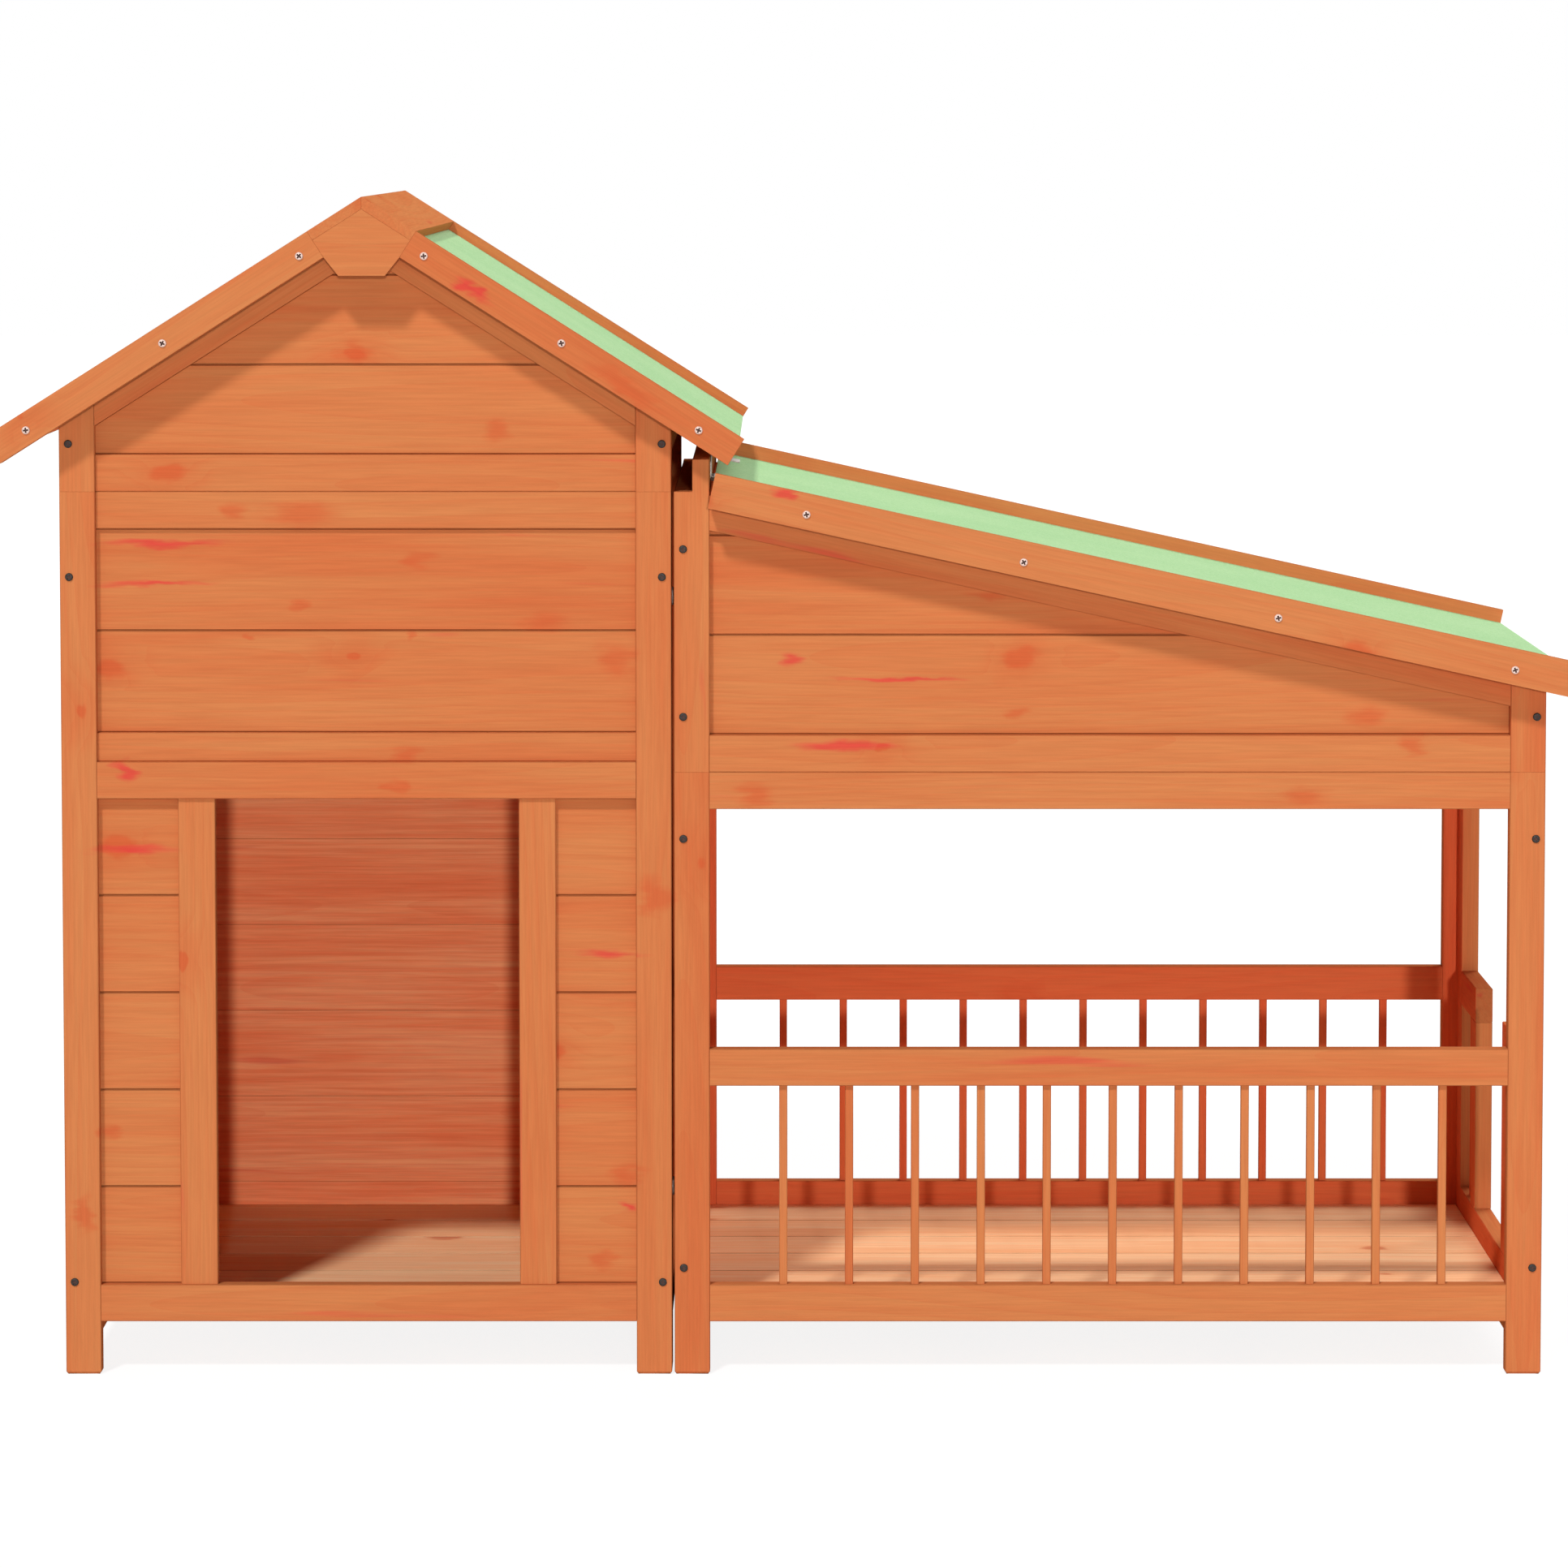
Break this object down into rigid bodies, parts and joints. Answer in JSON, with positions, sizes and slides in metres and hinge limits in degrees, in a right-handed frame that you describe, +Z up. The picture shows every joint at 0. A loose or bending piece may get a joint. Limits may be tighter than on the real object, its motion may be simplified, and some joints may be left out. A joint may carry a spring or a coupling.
{
  "type": "dog house",
  "caption": "Timber dog house: a raised gabled cabin with an open doorway, joined to a fenced porch whose felted single-slope roof lifts on butt hinges.",
  "frame": {"origin": "on the ground, at the middle of the overall width and depth", "axes": "+X along the front from the cabin to the porch, +Y from the front to the back, +Z up"},
  "size_m": [1.5444, 0.6732, 1.149],
  "materials": {
    "frame_wood": "orange stained pine, satin",
    "wall_wood": "orange stained pine boards, satin",
    "floor_wood": "stained pine, matt, rough sawn",
    "roof_wood": "stained pine, matt",
    "roof_felt": "green mineral felt, matt",
    "zinc_screw": "zinc plated",
    "zinc_bolt": "zinc plated",
    "hinge_steel": "zinc plated, satin",
    "dark_screw": "black oxide"
  },
  "bodies": {
    "house": {"house_front_stiles": "frame_wood", "house_front_bottom_rail": "frame_wood", "house_front_upper_rail": "frame_wood", "door_lintel": "frame_wood", "door_transom": "frame_wood", "door_jambs": "frame_wood", "doorside_boards": "wall_wood", "front_upper_boards": "wall_wood", "house_back_stiles": "frame_wood", "house_back_rails": "frame_wood", "house_back_boards": "wall_wood", "gable_front_frame": "frame_wood", "gable_front_boards": "wall_wood", "gable_back_frame": "frame_wood", "gable_back_boards": "wall_wood", "house_left_stiles": "frame_wood", "house_left_rails": "frame_wood", "house_left_boards": "wall_wood", "house_right_stiles": "frame_wood", "house_right_rails": "frame_wood", "house_right_boards": "wall_wood", "house_floor_boards": "floor_wood", "house_floor_bearers": "frame_wood", "roof_boards_right": "roof_wood", "roof_boards_left": "roof_wood", "roof_felt_right": "roof_felt", "roof_felt_left": "roof_felt", "ridge_caps": "frame_wood", "barge_boards_front": "frame_wood", "barge_boards_back": "frame_wood", "gusset_plates": "frame_wood", "roof_battens": "frame_wood", "porch_front_stiles": "frame_wood", "porch_front_rails": "frame_wood", "porch_front_balusters": "frame_wood", "porch_front_upper_frame": "frame_wood", "porch_front_upper_boards": "wall_wood", "porch_back_frame": "frame_wood", "porch_back_balusters": "frame_wood", "porch_back_upper_frame": "frame_wood", "porch_back_upper_boards": "wall_wood", "porch_left_frame": "frame_wood", "hinge_rail": "frame_wood", "porch_side_frame": "frame_wood", "porch_side_fence": "frame_wood", "porch_side_upper_panel": "frame_wood", "deck_boards": "floor_wood", "deck_bearers": "frame_wood", "joining_bolt_sets": "zinc_bolt", "frame_screws": "dark_screw", "barge_screws": "zinc_screw", "hinge_rail_leaves": "hinge_steel", "hinge_pins": "hinge_steel"},
    "porch_roof": {"porch_roof_boards": "roof_wood", "porch_roof_felt": "roof_felt", "porch_barge_boards": "frame_wood", "porch_roof_battens": "frame_wood", "porch_barge_screws": "zinc_screw", "hinge_roof_leaves": "hinge_steel"}
  },
  "joints": [
    {"name": "porch_roof_hinge", "type": "hinge", "parent": "house", "child": "porch_roof", "pos_m": [-0.06945, 0, 0.87286], "axis": [0, -1, 0], "range_deg": [0, 32]}
  ]
}
